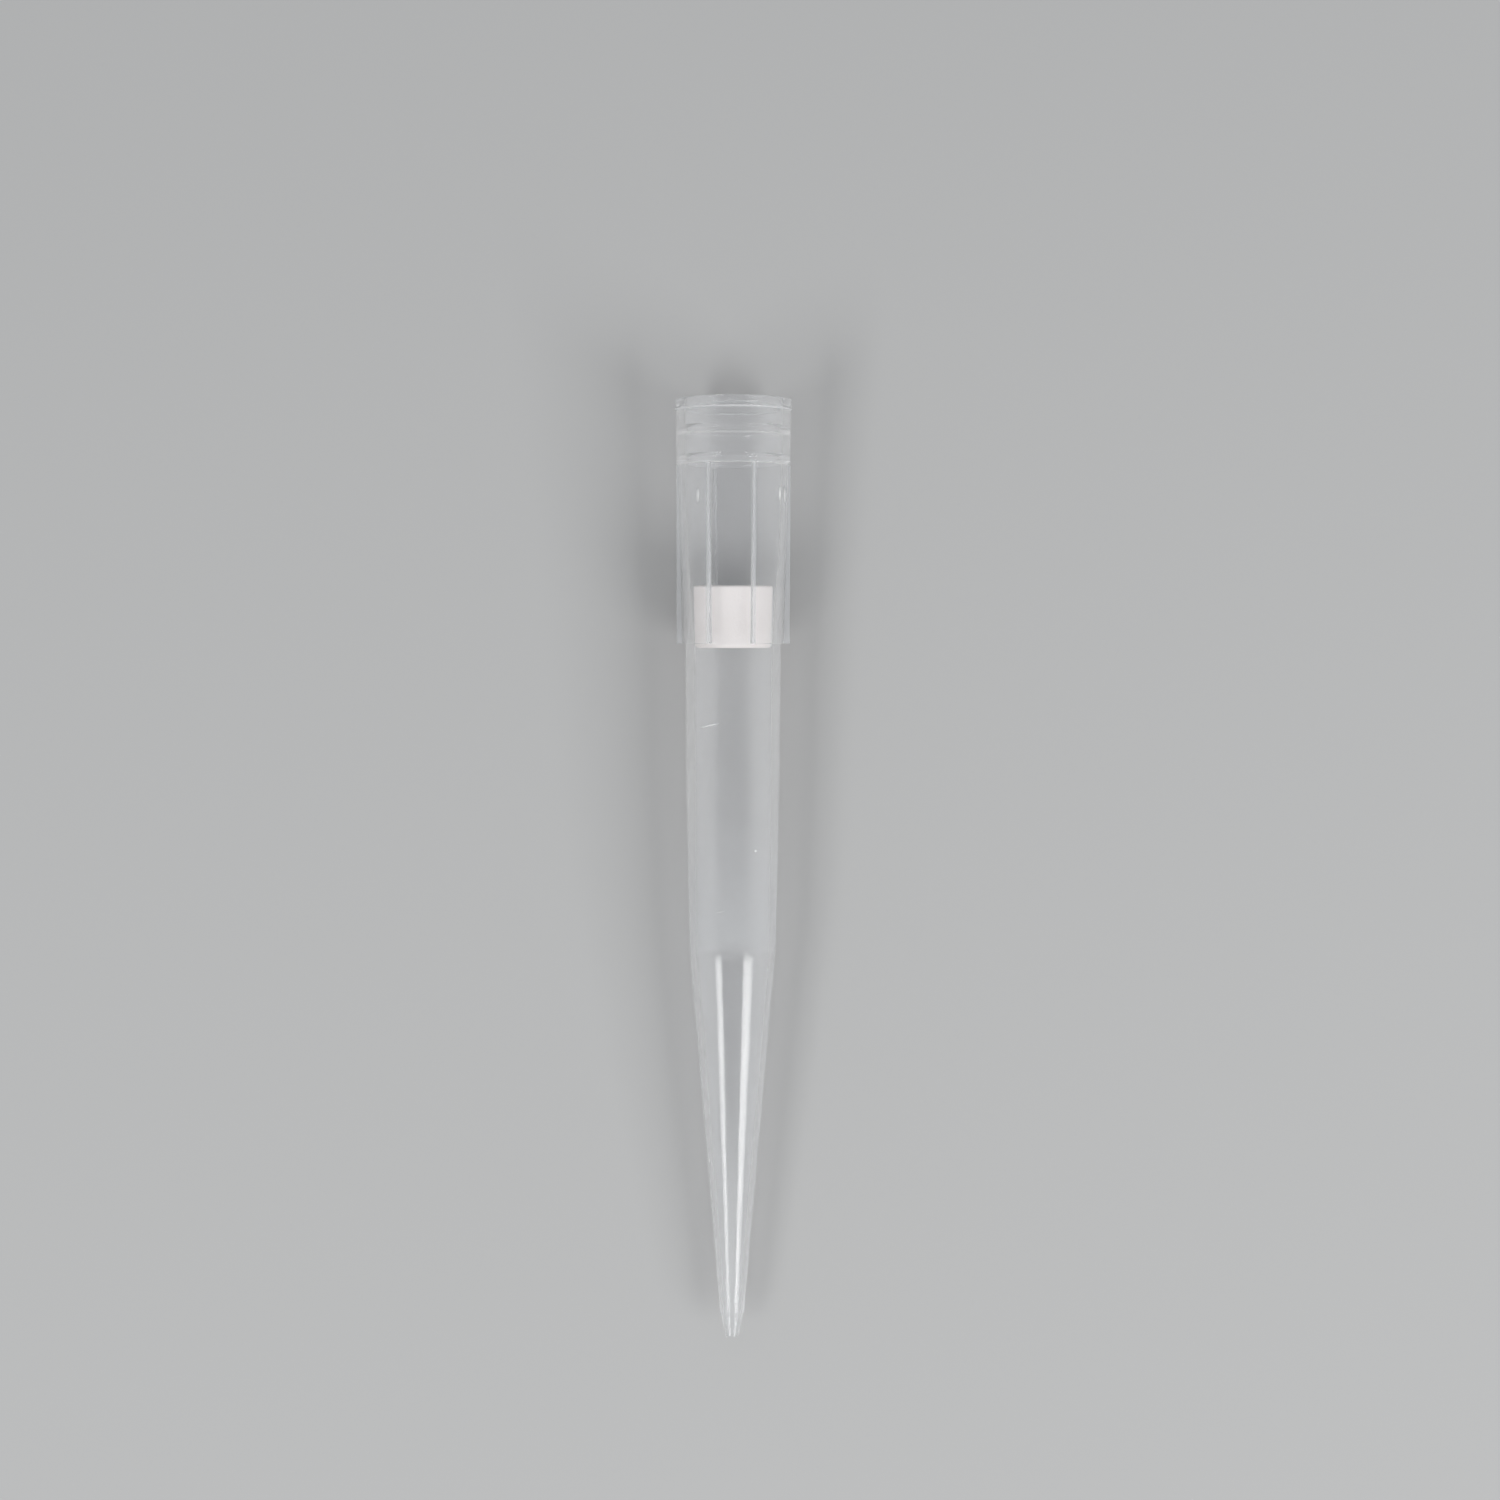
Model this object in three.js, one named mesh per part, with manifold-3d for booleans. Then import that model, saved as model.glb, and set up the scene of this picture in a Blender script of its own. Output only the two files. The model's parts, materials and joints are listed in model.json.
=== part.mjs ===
// A 1 ml filter pipette tip, lying where it comes to rest on a flat surface.
// Millimetres, +Z up, +Y towards the mouth. A depth is measured down the axis from the mouth.

import * as THREE from "three";
import { mergeVertices } from "three/addons/utils/BufferGeometryUtils.js";
import Module from "manifold-3d";

// Head: a rim bead, a plain collar and a tapered core that carries the ribs
const collarRadius = 4.35;
const collarDraft = 0.036; // how much wider the collar is under the rim
const rimStand = 0.064; // how far the rim bead stands out of the collar there
const rimHeight = 0.83;
const rimRound = 0.12;
const collarHeight = 4.12; // from the rim bead to the collar's lower edge
const collarStep = 0.21; // down from the collar to the core
const ribLength = 13.6; // from the collar's lower edge to the rack shoulder
const ribDraft = 0.04; // the ribs carry on from the collar and draw in by this much
const ribThickness = 0.22;
const ribRoot = 0.25; // how deep a rib is drawn into the collar and the core, to join them
const ribSpread = 24; // degrees from the vertical to each of the four upper and lower ribs

// Body, cone and nose, from the rack shoulder down
const bodyRadius = 3.655;
const shoulderStep = 0.155; // the core stands this far out of the body
const upperBodyLength = 11.95;
const upperBodyTaper = 0.1;
const lowerBodyLength = 11.76;
const lowerBodyTaper = 0.264;
const bendRound = 1.4; // either side of the bend, along the axis
const coneLength = 26.74;
const coneEndRadius = 1.015;
const landLength = 0.95;
const landTaper = 0.035;
const noseStep = 0.12;
const noseStepLength = 0.3;
const noseLength = 1.65;
const noseTaper = 0.33;

// Bore: nozzle socket with two sealing rings, a funnel down to the plug's seat, then the chamber
const leadInWidth = 0.25;
const leadInDepth = 0.6;
const collarWall = 0.6;
const sealTaper = 0.07; // over the part of the socket that seals, which has two rings
const sealDepth = 6.2; // from there the socket tapers faster
const sealRings = [2.4, 4.6]; // depth of each ring's crest
const sealRingWidth = 0.72;
const sealRingHeight = 0.15;
const coreWall = 0.527; // where the socket meets the funnel
const funnelDepth = 12.4;
const seatTaper = 0.015;
const bodyWall = 0.69;
const bendWall = 0.49;
const noseWall = 0.17;

// Filter plug
const plugLength = 4.7;
const plugTopDepth = 14.2; // in the funnel, short of its top
const plugClearance = 0.05; // all round in the seat
const plugTaper = 0.112; // the seat squeezes its lower end by this much
const plugRound = 0.3;
const plugSeated = 0.5; // how much of its lower end is in the seat
const seatRunOn = 0.4; // the seat goes on this far below the plug

const turnSegments = 72;
const roundSteps = 3;
const balanceDepth = 26; // where it would balance on an edge

// Depths and radii that follow from the sizes above
const coreDepth = rimHeight + collarHeight;
const shoulderDepth = coreDepth + ribLength;
const upperBodyDepth = shoulderDepth + upperBodyLength;
const bendDepth = upperBodyDepth + lowerBodyLength;
const coneDepth = bendDepth + coneLength;
const landDepth = coneDepth + landLength;
const noseDepth = landDepth + noseStepLength;
const endDepth = noseDepth + noseLength;

const rimRadius = collarRadius + collarDraft + rimStand;
const coreTopRadius = collarRadius - collarStep;
const coreBottomRadius = bodyRadius + shoulderStep;
const ribEndRadius = collarRadius - ribDraft;
const upperBodyRadius = bodyRadius - upperBodyTaper;
const bendRadius = upperBodyRadius - lowerBodyTaper;
const landRadius = coneEndRadius - landTaper;
const noseRadius = landRadius - noseStep;
const endRadius = noseRadius - noseTaper;

const coreRadiusAt = (depth) =>
  THREE.MathUtils.mapLinear(depth, coreDepth, shoulderDepth, coreTopRadius, coreBottomRadius);

const socketTopRadius = collarRadius - collarWall;
const sealEndRadius = socketTopRadius - sealTaper;
const socketBottomRadius = coreRadiusAt(funnelDepth) - coreWall;
const plugBottomDepth = plugTopDepth + plugLength;
const seatTopDepth = plugBottomDepth - plugSeated;
const seatBottomDepth = plugBottomDepth + seatRunOn;
const bodyBoreRadius = bodyRadius - bodyWall;
const seatTopRadius = bodyBoreRadius + seatTaper;
const bendBoreRadius = bendRadius - bendWall;
const orificeRadius = endRadius - noseWall;

const seatRadiusAt = (depth) =>
  THREE.MathUtils.mapLinear(depth, seatTopDepth, seatBottomDepth, seatTopRadius, bodyBoreRadius);

// Outlines are drawn in a half plane: x is the radius and y is minus the depth.
const draw = (path, radius, depth) => path.lineTo(radius, -depth);

// A rounded corner: straight up to the start of the round, then over to its end
function drawRound(path, start, corner, end) {
  draw(path, ...start);
  path.quadraticCurveTo(corner[0], -corner[1], end[0], -end[1]);
}

// Turns a bend at one depth into a smooth round between its two straight neighbours.
function drawBend(path, before, bend, after, reach) {
  const towards = (from, to) => {
    const share = reach / Math.abs(to[1] - from[1]);
    return [from[0] + (to[0] - from[0]) * share, from[1] + (to[1] - from[1]) * share];
  };
  drawRound(path, towards(bend, before), bend, towards(bend, after));
}

function drawOutside(path) {
  path.moveTo(rimRadius - rimRound, 0);
  path.quadraticCurveTo(rimRadius, 0, rimRadius, -rimRound);
  draw(path, rimRadius, rimHeight - rimStand);
  draw(path, collarRadius + collarDraft, rimHeight);
  draw(path, collarRadius, coreDepth - collarStep / 2);
  draw(path, coreTopRadius, coreDepth);
  draw(path, coreBottomRadius, shoulderDepth);
  draw(path, bodyRadius, shoulderDepth);
  draw(path, upperBodyRadius, upperBodyDepth);
  const bend = [bendRadius, bendDepth];
  drawBend(path, [upperBodyRadius, upperBodyDepth], bend, [coneEndRadius, coneDepth], bendRound);
  draw(path, coneEndRadius, coneDepth);
  draw(path, landRadius, landDepth);
  draw(path, noseRadius, noseDepth);
  draw(path, endRadius, endDepth);
}

// From the orifice back up to the mouth
function drawBore(path) {
  draw(path, orificeRadius, endDepth);
  const bend = [bendBoreRadius, bendDepth];
  drawBend(path, [orificeRadius, endDepth], bend, [bodyBoreRadius, seatBottomDepth], bendRound);
  draw(path, bodyBoreRadius, seatBottomDepth);
  draw(path, seatTopRadius, seatTopDepth);
  draw(path, socketBottomRadius, funnelDepth);
  draw(path, sealEndRadius, sealDepth);
  for (const crest of [...sealRings].reverse()) {
    const low = crest + sealRingWidth / 2;
    const high = crest - sealRingWidth / 2;
    const radiusAt = (depth) =>
      THREE.MathUtils.mapLinear(depth, leadInDepth, sealDepth, socketTopRadius, sealEndRadius);
    const crestControl = radiusAt(crest) - 2 * sealRingHeight; // a quadratic reaches half way to it
    drawRound(path, [radiusAt(low), low], [crestControl, crest], [radiusAt(high), high]);
  }
  draw(path, socketTopRadius, leadInDepth);
  draw(path, socketTopRadius + leadInWidth, 0);
}

// The outlines run down the outside, and a lathe faces outwards when its points run up it.
const turn = (path) => new THREE.LatheGeometry(path.getPoints(roundSteps).reverse(), turnSegments);

function turnedTip() {
  const path = new THREE.Path();
  drawOutside(path);
  drawBore(path);
  path.closePath();
  return turn(path);
}

// One rib, drawn at the side (+X) and then turned to its place
function ribPlate(angle) {
  const outline = new THREE.Shape();
  outline.moveTo(coreTopRadius - ribRoot, -coreDepth + ribRoot);
  draw(outline, collarRadius - ribRoot, coreDepth - ribRoot);
  draw(outline, collarRadius, coreDepth - collarStep / 2);
  draw(outline, ribEndRadius, shoulderDepth);
  draw(outline, coreBottomRadius - ribRoot, shoulderDepth);
  outline.closePath();
  return new THREE.ExtrudeGeometry(outline, { depth: ribThickness, bevelEnabled: false })
    .translate(0, 0, -ribThickness / 2)
    .rotateY(angle);
}

// Joins a body with plates that stand in it into one closed solid.
async function joined(body, plates) {
  const wasm = await Module();
  wasm.setup();
  const solidOf = (geometry) => {
    const bare = geometry.index ? geometry.toNonIndexed() : geometry.clone();
    bare.deleteAttribute("normal");
    bare.deleteAttribute("uv");
    const merged = mergeVertices(bare);
    const mesh = new wasm.Mesh({
      numProp: 3,
      vertProperties: new Float32Array(merged.attributes.position.array),
      triVerts: new Uint32Array(merged.index.array),
    });
    return new wasm.Manifold(mesh);
  };
  let solid = solidOf(body);
  for (const plate of plates) solid = solid.add(solidOf(plate));
  const mesh = solid.getMesh();
  const geometry = new THREE.BufferGeometry();
  geometry.setAttribute("position", new THREE.BufferAttribute(mesh.vertProperties, mesh.numProp));
  geometry.setIndex(new THREE.BufferAttribute(mesh.triVerts, 1));
  const faceted = geometry.toNonIndexed();
  faceted.computeVertexNormals();
  return faceted;
}

async function makeTipBody() {
  const spread = THREE.MathUtils.degToRad(ribSpread);
  const straight = Math.PI / 2;
  const upper = [straight - spread, straight + spread];
  const lower = [-straight - spread, -straight + spread];
  const plates = [0, Math.PI, ...upper, ...lower].map(ribPlate);
  const material = new THREE.MeshStandardMaterial({
    color: 0xd9dde2,
    roughness: 0.25,
    metalness: 0,
    transparent: true,
    opacity: 0.5,
  });
  const mesh = new THREE.Mesh(await joined(turnedTip(), plates), material);
  mesh.name = "tip_body";
  return mesh;
}

function makeFilterPlug() {
  const bottomRadius = seatRadiusAt(plugBottomDepth) - plugClearance;
  const topRadius = bottomRadius + plugTaper;
  const path = new THREE.Path();
  path.moveTo(0, -plugTopDepth);
  drawRound(
    path,
    [topRadius - plugRound / 2, plugTopDepth],
    [topRadius, plugTopDepth],
    [topRadius, plugTopDepth + plugRound / 2],
  );
  drawRound(
    path,
    [bottomRadius, plugBottomDepth - plugRound],
    [bottomRadius, plugBottomDepth],
    [bottomRadius - plugRound, plugBottomDepth],
  );
  draw(path, 0, plugBottomDepth);
  const material = new THREE.MeshStandardMaterial({ color: 0xe6ddd6, roughness: 0.95, metalness: 0 });
  const mesh = new THREE.Mesh(turn(path), material);
  mesh.name = "filter_plug";
  return mesh;
}

// At rest it lies on two points, one each side of where it balances: of all such pairs, the one
// that holds that place highest. A point's drop is how far it reaches below the axis.
function restTilt() {
  const outside = new THREE.Path();
  drawOutside(outside);
  const spread = THREE.MathUtils.degToRad(ribSpread);
  const ribDrop = ribEndRadius * Math.cos(spread) + (ribThickness / 2) * Math.sin(spread);
  const points = outside.getPoints(roundSteps).map((point) => ({ depth: -point.y, drop: point.x }));
  points.push({ depth: shoulderDepth, drop: ribDrop });
  let rest = { drop: 0, slope: 0 };
  for (const upper of points.filter((point) => point.depth < balanceDepth)) {
    for (const lower of points.filter((point) => point.depth > balanceDepth)) {
      const slope = (upper.drop - lower.drop) / (lower.depth - upper.depth);
      const drop = upper.drop - slope * (balanceDepth - upper.depth);
      if (drop > rest.drop) rest = { drop, slope };
    }
  }
  return Math.atan(rest.slope);
}

const lying = new THREE.Group();
lying.add(await makeTipBody(), makeFilterPlug());
lying.rotation.x = restTilt();

// The origin is under the middle of the tip, on the surface that it lies on.
const pipetteTip = new THREE.Group();
pipetteTip.add(lying);
const box = new THREE.Box3().setFromObject(pipetteTip, true);
const middle = box.getCenter(new THREE.Vector3());
lying.position.set(-middle.x, -middle.y, -box.min.z);

export default pipetteTip;
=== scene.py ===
# A 1 ml filter pipette tip, lying on its side on a pale table.
import json
from math import atan2, cos, hypot, pi, radians, sin, tan

import bpy
from mathutils import Matrix, Vector


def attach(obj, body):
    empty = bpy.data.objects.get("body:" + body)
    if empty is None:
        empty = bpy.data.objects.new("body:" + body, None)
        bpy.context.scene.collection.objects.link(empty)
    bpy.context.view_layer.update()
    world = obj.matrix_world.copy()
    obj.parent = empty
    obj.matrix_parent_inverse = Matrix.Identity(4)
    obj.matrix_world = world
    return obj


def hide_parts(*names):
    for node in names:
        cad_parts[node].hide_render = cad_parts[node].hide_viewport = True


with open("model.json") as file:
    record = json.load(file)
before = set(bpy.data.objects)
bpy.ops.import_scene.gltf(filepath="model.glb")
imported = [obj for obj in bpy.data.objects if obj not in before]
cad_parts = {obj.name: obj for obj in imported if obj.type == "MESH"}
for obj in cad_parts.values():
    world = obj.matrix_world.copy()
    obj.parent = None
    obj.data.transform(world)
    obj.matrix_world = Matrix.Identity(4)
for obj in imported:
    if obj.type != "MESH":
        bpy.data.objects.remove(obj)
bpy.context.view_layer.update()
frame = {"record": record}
bpy.ops.object.select_all(action="DESELECT")
scene = bpy.context.scene
mm = 0.001


# Where the tip lies: the middle of the mouth, and the axis out of it.
# The record's mount sits on the flat of the rim, straight above that middle.
mouthMount = next(mount for mount in frame["record"]["mounts"] if mount["name"] == "mouth_rim")
mouthMountRadius = 4.17
axis = Vector(mouthMount["axis"]).normalized()
across = Vector((1, 0, 0))
upright = across.cross(axis)
mouth = Vector(mouthMount["pos_m"]) - upright * mouthMountRadius * mm
# A piece is drawn upright with its mouth end at zero, then laid down: its z runs along the axis.
layDown = Matrix.Translation(mouth) @ Matrix((across, -upright, axis)).transposed().to_4x4()
print("frame loaded: mouth at", [round(value / mm, 2) for value in mouth])


# Drawing an outline: a corner is (radius, depth, rounding) and a row is (radius, depth), in
# millimetres. Depth is measured from the mouth, along the axis.
sameRadius = 1e-7
mergeDistance = 2e-7  # in metres


def between(start, end, share):
    return (start[0] + (end[0] - start[0]) * share, start[1] + (end[1] - start[1]) * share)


def roundedRows(corners, steps=5, support=0.03):
    # each corner becomes a curve, with one more row before and after it to keep the shading flat
    rows = []
    for number, (radius, depth, rounding) in enumerate(corners):
        here = (radius, depth)
        if not rounding or number in (0, len(corners) - 1):
            rows.append(here)
            continue
        before, after = corners[number - 1][:2], corners[number + 1][:2]
        lengthBefore = hypot(before[0] - radius, before[1] - depth)
        lengthAfter = hypot(after[0] - radius, after[1] - depth)
        start = between(here, before, rounding / lengthBefore)
        end = between(here, after, rounding / lengthAfter)
        if lengthBefore - rounding > 4 * support:
            rows.append(between(here, before, (rounding + support) / lengthBefore))
        for step in range(steps + 1):
            share = step / steps
            rows.append(between(between(start, here, share), between(here, end, share), share))
        if lengthAfter - rounding > 4 * support:
            rows.append(between(here, after, (rounding + support) / lengthAfter))
    return rows


def resizeRow(share, depth):
    # makes what is selected wider or narrower about the axis
    bpy.ops.transform.resize(value=(share, share, 1), center_override=(0, 0, -depth * mm))


def turned(name, rows, segments):
    # a ring is added at the first row, then extruded and resized from row to row
    radius, depth = rows[0]
    bpy.ops.mesh.primitive_circle_add(vertices=segments, radius=radius * mm, location=(0, 0, 0))
    piece = bpy.context.object
    piece.name = piece.data.name = name
    bpy.ops.object.mode_set(mode="EDIT")
    bpy.ops.mesh.select_all(action="SELECT")
    bpy.ops.transform.translate(value=(0, 0, -depth * mm))
    for nextRadius, nextDepth in rows[1:]:
        drop = (depth - nextDepth) * mm
        bpy.ops.mesh.extrude_edges_move(TRANSFORM_OT_translate={"value": (0, 0, drop)})
        if abs(nextRadius - radius) > sameRadius:
            resizeRow(nextRadius / radius, nextDepth)
        radius, depth = nextRadius, nextDepth
    bpy.ops.object.mode_set(mode="OBJECT")
    return piece


def deselected(piece, kind):
    bpy.ops.object.mode_set(mode="EDIT")
    bpy.ops.mesh.select_mode(type=kind)
    bpy.ops.mesh.select_all(action="DESELECT")
    bpy.ops.object.mode_set(mode="OBJECT")


def choose(piece, kind, test):
    # selects faces or edges by where their corners lie, in millimetres
    deselected(piece, kind)
    mesh = piece.data
    points = [vertex.co / mm for vertex in mesh.vertices]
    count = 0
    for part in {"EDGE": mesh.edges, "FACE": mesh.polygons}[kind]:
        part.select = bool(test([points[corner] for corner in part.vertices]))
        count += part.select
    bpy.ops.object.mode_set(mode="EDIT")
    return count


def tidied(piece, smoothAngle):
    # merges doubles, turns the faces outwards and shades smooth
    bpy.ops.object.mode_set(mode="EDIT")
    bpy.ops.mesh.select_mode(type="VERT")
    bpy.ops.mesh.select_all(action="SELECT")
    bpy.ops.mesh.remove_doubles(threshold=mergeDistance)
    bpy.ops.mesh.normals_make_consistent(inside=False)
    bpy.ops.object.mode_set(mode="OBJECT")
    bpy.ops.object.shade_smooth_by_angle(angle=radians(smoothAngle))


def placed(piece):
    # lays the piece down and puts its place into its mesh
    piece.matrix_world = layDown
    bpy.ops.object.select_all(action="DESELECT")
    piece.select_set(True)
    bpy.context.view_layer.objects.active = piece
    bpy.ops.object.transform_apply(location=True, rotation=True, scale=True)
    bpy.ops.object.select_all(action="DESELECT")


# The tip: one moulding, drawn from the rim down the outside to the orifice and back up the bore
tip = {
    "segments": 240,  # one and a half degrees each, so a rib is two of them wide
    "outside": {
        "rimFlat": (4.0, 0, 0),
        "rimEdge": (4.45, 0, 0.12),
        "rimFoot": (4.45, 0.766, 0.03),
        "collarTop": (4.386, 0.83, 0.03),
        "collarFoot": (4.35, 4.845, 0.03),
        "coreTop": (4.14, 4.95, 0.04),
        "coreFoot": (3.81, 18.55, 0.02),
        "shoulder": (3.655, 18.55, 0.05),
        "body": (3.555, 30.5, 3.5),
        "bend": (3.291, 42.26, 1.4),
        "coneFoot": (1.015, 69.0, 0.03),
        "landFoot": (0.98, 69.95, 0.04),
        "noseTop": (0.86, 70.25, 0.06),
        "noseEnd": (0.53, 71.9, 0.02),
    },
    "bore": {
        "orifice": (0.36, 71.9, 0.02),
        "bend": (2.801, 42.26, 1.4),
        "chamberTop": (2.965, 19.3, 0.3),
        "seatTop": (2.98, 18.4, 0.5),
        "funnelTop": (3.432, 12.4, 1.6),
        "socketFoot": (3.68, 6.2, 1.0),
        "socketTop": (3.75, 0.6, 0.45),
        "rimFlat": (4.0, 0, 0),
    },
    "ribAngles": (24, 90, 156, 204, 270, 336),  # from straight up
    "ribHalfAngle": 1.5,
    "ribEnd": 4.31,  # the ribs' outer radius at the shoulder
    "ribEdge": 0.035,  # how far their edges are rounded
    "ribEdgeStart": 0.12,  # how far under the collar the rounding starts
    "ribsOutside": 3.74,  # every part of a rib is further from the axis than this
    "ringDepths": (2.4, 4.6),
    "ringWidth": 0.72,
    "ringHeight": 0.15,
    "ringSteps": 16,
    "ringMargin": 0.05,  # from a ring's edge to the row that ends its shading
}


def withRings(rows):
    # puts the two sealing rings into the socket wall
    topRadius, topDepth = tip["bore"]["socketTop"][:2]
    footRadius, footDepth = tip["bore"]["socketFoot"][:2]
    half, steps = tip["ringWidth"] / 2, tip["ringSteps"]
    reach = half + tip["ringMargin"]

    def wallAt(depth):
        return topRadius + (footRadius - topRadius) * (depth - topDepth) / (footDepth - topDepth)

    ringed = []
    for row, nextRow in zip(rows, rows[1:] + rows[-1:]):
        ringed.append(row)
        if not row[1] > tip["ringDepths"][-1] > nextRow[1]:
            continue
        for middle in reversed(tip["ringDepths"]):
            ringed.append((wallAt(middle + reach), middle + reach))
            for step in range(steps + 1):
                share = 2 * step / steps - 1  # from the ring's lower edge to its upper one
                depth = middle - share * half
                ringed.append((wallAt(depth) - tip["ringHeight"] * (1 - share * share), depth))
            ringed.append((wallAt(middle - reach), middle - reach))
    return ringed


def fromRib(point):
    # degrees round the axis to the nearest rib: the piece's -y becomes straight up when laid down
    angle = atan2(point.x, -point.y) * 180 / pi % 360
    return min(abs(angle - rib) for rib in tip["ribAngles"])


def raiseRibs(piece, outsideRows):
    # extrudes the ribs' strips of the core and brings each row of them out to the ribs' height
    nearly = 1e-4
    withinRadius, withinDepth = 0.001, 0.05  # how near the collar's foot their first row is
    collarRadius, top = tip["outside"]["collarFoot"][:2]
    bottom = tip["outside"]["coreFoot"][1]
    narrower = [depth for radius, depth in outsideRows if radius < collarRadius - withinRadius]
    firstRow = min(depth for depth in narrower if depth > top - withinDepth)

    def onRib(points):
        middle = sum(points, Vector()) / len(points)
        inStrip = fromRib(middle) < tip["ribHalfAngle"]
        outside = hypot(middle.x, middle.y) > tip["ribsOutside"]
        return inStrip and outside and firstRow < -middle.z < bottom - nearly

    count = choose(piece, "FACE", onRib)
    bpy.ops.mesh.extrude_region()
    bpy.ops.object.mode_set(mode="OBJECT")
    selected = [vertex for vertex in piece.data.vertices if vertex.select]
    raised = {vertex.index: vertex.co / mm for vertex in selected}
    depths = sorted({round(-point.z, 4) for point in raised.values()})
    for depth in depths[1:]:
        row = [index for index in raised if abs(-raised[index].z - depth) < 2 * nearly]
        now = max(hypot(raised[index].x, raised[index].y) for index in row)
        share = (depth - depths[0]) / (bottom - depths[0])
        wanted = collarRadius + (tip["ribEnd"] - collarRadius) * share
        deselected(piece, "VERT")
        for index in row:
            piece.data.vertices[index].select = True
        bpy.ops.object.mode_set(mode="EDIT")
        resizeRow(wanted / now, depth)
        bpy.ops.object.mode_set(mode="OBJECT")
    tidied(piece, smoothAngle=180)
    print("ribs raised:", count, "faces,", len(depths), "rows")


def roundRibs(piece):
    # bevels the ribs' long edges and the edge round their square ends
    nearly = 0.001
    slack = 0.05  # in degrees
    outermost = tip["ribEnd"] - 0.01
    top = tip["outside"]["collarFoot"][1] + tip["ribEdgeStart"]
    bottom = tip["outside"]["coreFoot"][1]

    def onRibEdge(points):
        depths = [-point.z for point in points]
        radii = [hypot(point.x, point.y) for point in points]
        pastSide = [fromRib(point) - tip["ribHalfAngle"] for point in points]
        if max(pastSide) > slack or min(radii) < tip["ribsOutside"]:
            return False
        along = max(depths) - min(depths) > nearly and min(depths) > top
        atEnd = all(abs(depth - bottom) < nearly for depth in depths)
        return (min(pastSide) > -slack and along) or (atEnd and min(radii) > outermost)

    count = choose(piece, "EDGE", onRibEdge)
    bpy.ops.mesh.bevel(
        offset=tip["ribEdge"] * mm, segments=2, affect="EDGES", clamp_overlap=False
    )
    tidied(piece, smoothAngle=32)
    print("rib edges rounded:", count)


def makeTip():
    # the outside and the bore share their corners at the mouth and at the orifice
    down, up = list(tip["outside"].values()), list(tip["bore"].values())
    outsideRows = roundedRows(down + up[:1])[:-1]
    rows = outsideRows + withRings(roundedRows(down[-1:] + up))[1:]
    piece = turned("tip", rows, tip["segments"])
    tidied(piece, smoothAngle=180)
    print("tip turned:", len(rows), "rows")
    raiseRibs(piece, outsideRows)
    roundRibs(piece)
    placed(piece)
    return piece


# The plug: a sintered cylinder, pressed into its seat
plug = {
    "segments": 96,
    "corners": [
        (0.08, 14.2, 0),  # the small hole in the middle is closed with one face
        (3.036, 14.2, 0.16),
        (2.926, 18.9, 0.34),
        (0.08, 18.9, 0),
    ],
    "rowStep": 0.16,
    "lumps": ((1.6, 0.018), (0.35, 0.0108)),  # how wide and how high they are
    "lumpLevel": 0.75,
}


def makePlug():
    corners = roundedRows(plug["corners"])
    rows = []
    for start, end in zip(corners[:-1], corners[1:]):
        steps = max(1, round(hypot(end[0] - start[0], end[1] - start[1]) / plug["rowStep"]))
        rows += [between(start, end, step / steps) for step in range(steps)]
    rows.append(corners[-1])
    piece = turned("plug", rows, plug["segments"])
    pastHole = plug["corners"][0][0] + 0.01

    def onHole(points):
        return all(hypot(point.x, point.y) < pastHole for point in points)

    choose(piece, "EDGE", onHole)
    bpy.ops.mesh.edge_face_add()
    tidied(piece, smoothAngle=40)

    # a slightly uneven skin, as the pressed grains leave it
    for width, height in plug["lumps"]:
        lumps = bpy.data.textures.new("plugLumps", "CLOUDS")
        lumps.noise_scale = width * mm
        bpy.ops.object.modifier_add(type="DISPLACE")
        modifier = piece.modifiers[-1]
        modifier.texture = lumps
        modifier.strength = height * mm
        modifier.mid_level = plug["lumpLevel"]
        bpy.ops.object.modifier_apply(modifier=modifier.name)
    print("plug made:", len(rows), "rows")
    placed(piece)
    return piece


# Materials. A Value wraps a socket, so that shader maths can be written as expressions.

class Value:
    def __init__(self, sheet, socket):
        self.sheet, self.socket = sheet, socket

    def maths(self, operation, other=None, swapped=False):
        inputs = [self, other] if other is not None else [self]
        if swapped:
            inputs.reverse()
        settings = {"operation": operation}
        return self.sheet.node("ShaderNodeMath", settings, dict(enumerate(inputs)))

    def __add__(self, other):
        return self.maths("ADD", other)

    __radd__ = __add__

    def __sub__(self, other):
        return self.maths("SUBTRACT", other)

    def __rsub__(self, other):
        return self.maths("SUBTRACT", other, swapped=True)

    def __mul__(self, other):
        return self.maths("MULTIPLY", other)

    __rmul__ = __mul__

    def __truediv__(self, other):
        return self.maths("DIVIDE", other)

    def __pow__(self, other):
        return self.maths("POWER", other)

    def larger(self, other):
        return self.maths("MAXIMUM", other)

    def size(self):
        return self.maths("ABSOLUTE")


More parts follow.
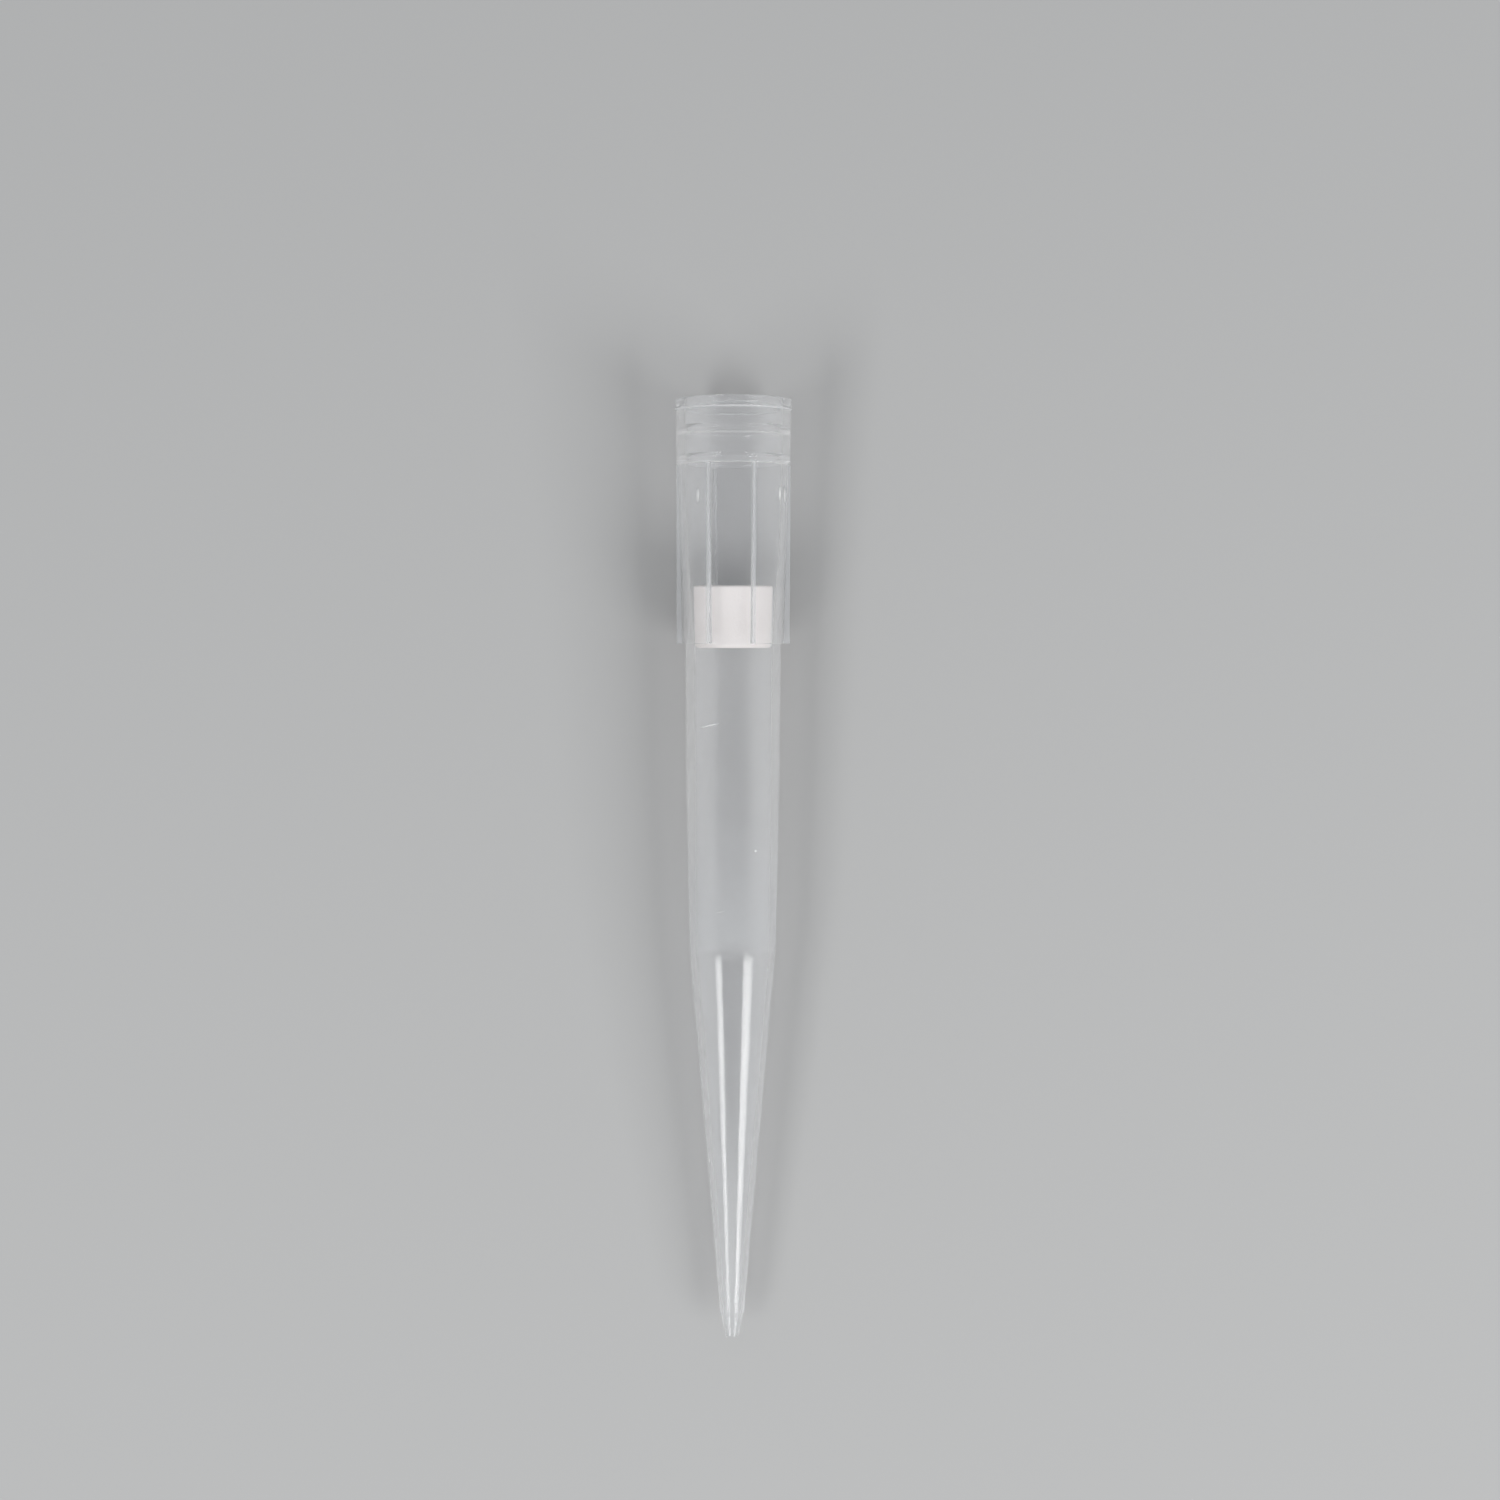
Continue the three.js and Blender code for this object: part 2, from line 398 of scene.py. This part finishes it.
class Sheet:
    # one material's nodes
    def __init__(self, name):
        self.material = bpy.data.materials.new(name)
        self.material.use_nodes = True
        self.tree = self.material.node_tree
        self.tree.nodes.clear()
        self.output = self.tree.nodes.new("ShaderNodeOutputMaterial")

    def node(self, kind, settings=None, inputs=None, result=0):
        made = self.tree.nodes.new(kind)
        for name, value in (settings or {}).items():
            setattr(made, name, value)
        for name, value in (inputs or {}).items():
            if isinstance(value, Value):
                self.tree.links.new(value.socket, made.inputs[name])
            else:
                made.inputs[name].default_value = value
        return Value(self, made.outputs[result])

    def noise(self, pattern):
        place = self.node("ShaderNodeTexCoord", result="Object")
        stretch = pattern.get("stretch", (1, 1, 1))
        place = self.node("ShaderNodeMapping", inputs={"Vector": place, "Scale": stretch})
        return self.node(
            "ShaderNodeTexNoise",
            inputs={
                "Vector": place,
                "Scale": pattern["scale"],
                "Detail": pattern["detail"],
                "Roughness": pattern.get("roughness", 0.5),
            },
        )

    def ramp(self, value, low, high, toLow=0.0, toHigh=1.0):
        return self.node(
            "ShaderNodeMapRange",
            {"interpolation_type": "SMOOTHSTEP"},
            {"Value": value, "From Min": low, "From Max": high, "To Min": toLow, "To Max": toHigh},
        )

    def mixed(self, share, first, second):
        colours = {"Factor": share, 6: first, 7: second}  # its sockets 6 and 7 take colours
        return self.node("ShaderNodeMix", {"data_type": "RGBA"}, colours, result=2)

    def mixedShader(self, share, first, second):
        return self.node("ShaderNodeMixShader", inputs={0: share, 1: first, 2: second})

    def bump(self, height, pattern):
        return self.node(
            "ShaderNodeBump",
            inputs={
                "Height": height,
                "Strength": pattern["bump"],
                "Distance": pattern["height"] * mm,
            },
        )

    def finish(self, shader):
        self.tree.links.new(shader.socket, self.output.inputs["Surface"])
        return self.material


plastic = {
    "colour": (0.985, 0.99, 0.995, 1),
    "ior": 1.49,
    "glint": (0.5, 0.5, 0.5, 1),  # how strongly it mirrors the lamps where they meet it squarely
    "shade": (0.96, 0.96, 0.965, 1),  # what a lamp's light keeps where it meets a surface squarely
    "edgeShade": 0.75,  # how much of a lamp's light a surface turns aside where met edge on
    "edgePower": 3,
    "milk": (0.92, 0.95, 0.98, 1),
    "milkiness": 360,
    "forward": -0.35,  # below zero, so the milk sends more light back than on
    "haze": {"scale": 260, "detail": 2, "stretch": (1, 0.35, 1), "limits": (0.3, 0.7)},
    "roughness": (0.03, 0.08),  # where the haze is thin and where it is thick
    "flow": {"scale": 420, "detail": 1.5, "stretch": (1, 0.06, 1), "bump": 0.05, "height": 0.03},
    # the white of the scratches and specks, also used for the two painted glints
    "mark": (0.95, 0.95, 0.94, 1),
    "frost": (0.62, 0.63, 0.64, 1),  # the ribs and the step under the rim are duller than the rest
    "ribFrost": 0.36,
    "ribRise": (0.02, 0.08),  # from this far out of the core to this far
    "ribStart": 0.1,
    "rimFrost": 0.5,
    "rimStep": (0.09, 0.03),  # from this far above or below the step to this near
    "rimRadii": (4.2, 4.3),
}

# Fine marks on the upper side, in millimetres: their start and end across and along, and width.
# The first two are scratches; the last two are painted glints, short white streaks standing in for
# reflections of the lamps
scratchesAndPaintedGlints = [
    {"start": (-2.5, 10.85), "end": (-0.65, 11.3), "width": 0.065, "strength": 0.75},
    {"start": (-1.3, -3.12), "end": (-0.2, -2.88), "width": 0.045, "strength": 0.45},
    # these two are painted glints, not scratches: white streaks put where the lamps' reflections
    # fall
    {"start": (-2.49, 29.2), "end": (-2.46, 27.5), "width": 0.075, "strength": 0.6},
    {"start": (3.61, 29.35), "end": (3.59, 27.8), "width": 0.09, "strength": 0.75},
]
specks = [
    {"at": (-0.2, 11.95), "size": 0.085, "strength": 1.0},
    {"at": (1.85, 1.6), "size": 0.08, "strength": 1.0},
]
markedRadii = (3.1, 3.2)  # the marks are outside only: the bore is nearer the axis than this
markedAbove = (0, 0.5)  # and only on the half above the axis


def placesOn(sheet):
    # a point's place in millimetres: across and along the table, above the axis, out from the
    # axis, and down the axis from the mouth
    place = sheet.node("ShaderNodeTexCoord", result="Object")
    x, y, z = [
        sheet.node("ShaderNodeSeparateXYZ", inputs={0: place}, result=letter) / mm
        for letter in "XYZ"
    ]
    toMouth, up = mouth.y / mm - y, z - mouth.z / mm
    depth = toMouth * axis.y - up * axis.z
    above = up * axis.y + toMouth * axis.z
    out = (x * x + above * above) ** 0.5
    return {"x": x, "y": y, "above": above, "out": out, "depth": depth}


def frostOn(sheet):
    # on the ribs and on the step under the rim
    place = placesOn(sheet)
    topRadius, topDepth = tip["outside"]["coreTop"][:2]
    footRadius, footDepth = tip["outside"]["coreFoot"][:2]
    narrowing = (topRadius - footRadius) / (footDepth - topDepth)
    core = topRadius - (place["depth"] - topDepth) * narrowing
    ribs = sheet.ramp(place["out"] - core, *plastic["ribRise"])
    ribs = ribs * sheet.ramp(place["depth"], topDepth, topDepth + plastic["ribStart"])
    fromStep = (place["depth"] - tip["outside"]["collarTop"][1]).size()
    step = sheet.ramp(fromStep, *plastic["rimStep"])
    step = step * sheet.ramp(place["out"], *plastic["rimRadii"])
    return ribs * plastic["ribFrost"] + step * plastic["rimFrost"]


def marksAndPaintedGlintsOn(sheet):
    # one where a scratch, a speck or a painted glint is, and zero elsewhere
    place = placesOn(sheet)
    marks = 0
    for mark in scratchesAndPaintedGlints:
        (x0, y0), (x1, y1) = mark["start"], mark["end"]
        length = hypot(x1 - x0, y1 - y0)
        dx, dy = (x1 - x0) / length, (y1 - y0) / length
        offX, offY = place["x"] - x0, place["y"] - y0
        fromMiddle = (offX * dx + offY * dy - length / 2).size()
        aside = (offX * dy - offY * dx).size()
        fade = sheet.ramp(fromMiddle, length / 2, 0)
        marks = fade * sheet.ramp(aside, mark["width"], 0) * mark["strength"] + marks
    for mark in specks:
        offX, offY = place["x"] - mark["at"][0], place["y"] - mark["at"][1]
        spot = sheet.ramp(offX * offX + offY * offY, mark["size"] ** 2, 0)
        marks = spot * mark["strength"] + marks
    onTop = sheet.ramp(place["above"], *markedAbove)
    return marks * sheet.ramp(place["out"], *markedRadii) * onTop


def plasticMaterial():
    sheet = Sheet("translucentPolypropylene")
    haze = sheet.noise(plastic["haze"])
    flow = sheet.noise(plastic["flow"])
    shader = sheet.node(
        "ShaderNodeBsdfPrincipled",
        inputs={
            "Base Color": plastic["colour"],
            "Roughness": sheet.ramp(haze, *plastic["haze"]["limits"], *plastic["roughness"]),
            "IOR": plastic["ior"],
            "Transmission Weight": 1.0,
            "Specular Tint": plastic["glint"],
            "Normal": sheet.bump(flow, plastic["flow"]),
        },
    )
    dull = sheet.node("ShaderNodeBsdfDiffuse", inputs={"Color": plastic["frost"]})
    shader = sheet.mixedShader(frostOn(sheet), shader, dull)
    # white marks: real scratches and dust specks, and two painted glints
    white = sheet.node("ShaderNodeBsdfDiffuse", inputs={"Color": plastic["mark"]})
    shader = sheet.mixedShader(marksAndPaintedGlintsOn(sheet), shader, white)

    # light reaches what is inside and under the tip, but less where it meets the wall edge on
    toLamp = sheet.node("ShaderNodeLightPath", result="Is Shadow Ray")
    fromDull = sheet.node("ShaderNodeLightPath", result="Is Diffuse Ray")
    edge = sheet.node("ShaderNodeLayerWeight", inputs={"Blend": 0.5}, result="Facing")
    keeps = 1 - edge ** plastic["edgePower"] * plastic["edgeShade"]
    letThrough = sheet.node("ShaderNodeBsdfTransparent", inputs={"Color": plastic["shade"]})
    shader = sheet.mixedShader(toLamp.larger(fromDull) * keeps, shader, letThrough)

    milk = sheet.node(
        "ShaderNodeVolumeScatter",
        inputs={
            "Color": plastic["milk"],
            "Density": plastic["milkiness"],
            "Anisotropy": plastic["forward"],
        },
    )
    sheet.tree.links.new(milk.socket, sheet.output.inputs["Volume"])
    return sheet.finish(shader)


porous = {
    "colour": (0.97, 0.92, 0.895, 1),
    "shade": (0.93, 0.875, 0.85, 1),
    "roughness": 0.95,
    "grains": {"scale": 5200, "detail": 3, "roughness": 0.6, "bump": 0.5, "height": 0.06},
    "blotches": {"scale": 500, "detail": 2},
    "grainShare": 0.7,  # how much of the colour's pattern comes from the grains
    "limits": (0.35, 0.6),
}


def porousMaterial():
    sheet = Sheet("porousFilter")
    grains = sheet.noise(porous["grains"])
    blotches = sheet.noise(porous["blotches"])
    pattern = grains * porous["grainShare"] + blotches * (1 - porous["grainShare"])
    pattern = sheet.ramp(pattern, *porous["limits"])
    shader = sheet.node(
        "ShaderNodeBsdfPrincipled",
        inputs={
            "Base Color": sheet.mixed(pattern, porous["shade"], porous["colour"]),
            "Roughness": porous["roughness"],
            "Normal": sheet.bump(grains, porous["grains"]),
        },
    )
    return sheet.finish(shader)


floor = {"colour": (0.42, 0.42, 0.416, 1), "roughness": 0.85, "radius": 0.75, "segments": 160}


def floorMaterial():
    sheet = Sheet("paleTable")
    look = {"Base Color": floor["colour"], "Roughness": floor["roughness"]}
    return sheet.finish(sheet.node("ShaderNodeBsdfPrincipled", inputs=look))


tipPiece = makeTip()
tipPiece.data.materials.append(plasticMaterial())
plugPiece = makePlug()
plugPiece.data.materials.append(porousMaterial())
for piece, node, slot in (
    (tipPiece, "tip_body", "translucent_polypropylene"),
    (plugPiece, "filter_plug", "porous_filter"),
):
    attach(piece, "root")
    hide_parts(node)
print("pieces:", [(piece.name, len(piece.data.polygons)) for piece in (tipPiece, plugPiece)])


# Floor, light and camera
bpy.ops.mesh.primitive_circle_add(
    vertices=floor["segments"], radius=floor["radius"], fill_type="NGON", location=(0, 0, 0)
)
table = bpy.context.object
table.name = "table"
table.data.materials.append(floorMaterial())

studio = {
    "sky": (0.78, 0.8, 0.83, 1),
    "skyStrength": 0.6,
    # azimuth turns a lamp to the side, and lean brings it towards the fine end, from straight up
    "left": {"azimuth": -37.5, "lean": 34, "width": 0.18, "height": 0.3, "power": 1.55},
    "right": {"azimuth": 47, "lean": 36, "width": 0.28, "height": 0.27, "power": 2.2},
    "distance": 0.6,
    "bounces": 9,  # enough to see through both walls
    "milkBounces": 1,
}


def softbox(name):
    box = studio[name]
    turn, lean = radians(box["azimuth"]), radians(box["lean"])
    towards = Vector((sin(turn), -tan(lean) * cos(turn), cos(turn))).normalized()
    along = (Vector((0, 1, 0)) - towards * towards.y).normalized()
    bpy.ops.object.light_add(type="AREA")
    light = bpy.context.object
    light.name = name + "Softbox"
    facing = Matrix((along.cross(towards), along, towards)).transposed().to_4x4()
    light.matrix_world = Matrix.Translation(towards * studio["distance"]) @ facing
    light.data.shape = "RECTANGLE"
    light.data.size, light.data.size_y = box["width"], box["height"]
    light.data.energy = box["power"]


softbox("left")
softbox("right")
world = bpy.data.worlds.new("studio")
world.use_nodes = True
scene.world = world
background = world.node_tree.nodes["Background"]
background.inputs["Color"].default_value = studio["sky"]
background.inputs["Strength"].default_value = studio["skyStrength"]

view = {
    "lens": 63.7,
    "sensor": 36,
    "nearest": 0.001,
    "distance": 0.2068,  # from the table, in metres
    "lookAlong": 0.0092,
    "lookHeight": 0.0039,
    "aside": 1.31,  # the tip stands this far left of the middle, in millimetres
    "fromRight": 2.1,  # the camera stands this many degrees to the right of straight above
    "fromMouth": 0.66,  # and this many towards the mouth
    "roll": 0.165,
}


def makeCamera():
    side, lean = radians(view["fromRight"]), radians(view["fromMouth"])
    roll = radians(view["roll"])
    back = Vector((sin(side), sin(lean), cos(side) * cos(lean))).normalized()
    up = (Vector((0, 1, 0)) - back * back.y).normalized()
    right = up.cross(back)
    up = (up * cos(roll) - right * sin(roll)).normalized()
    right = up.cross(back)
    target = Vector((0, view["lookAlong"], view["lookHeight"])) + right * view["aside"] * mm
    place = target + back * (view["distance"] - view["lookHeight"])
    facing = Matrix((right, up, back)).transposed().to_4x4()
    bpy.ops.object.camera_add()
    camera = bpy.context.object
    camera.matrix_world = Matrix.Translation(place) @ facing
    camera.data.lens = view["lens"]
    camera.data.sensor_width = view["sensor"]
    camera.data.clip_start = view["nearest"]
    scene.camera = camera


makeCamera()
scene.view_settings.view_transform = "Standard"
scene.cycles.max_bounces = scene.cycles.transmission_bounces = studio["bounces"]
scene.cycles.volume_bounces = studio["milkBounces"]
scene.cycles.caustics_refractive = scene.cycles.caustics_reflective = False
bpy.ops.object.select_all(action="DESELECT")
print("stage set")
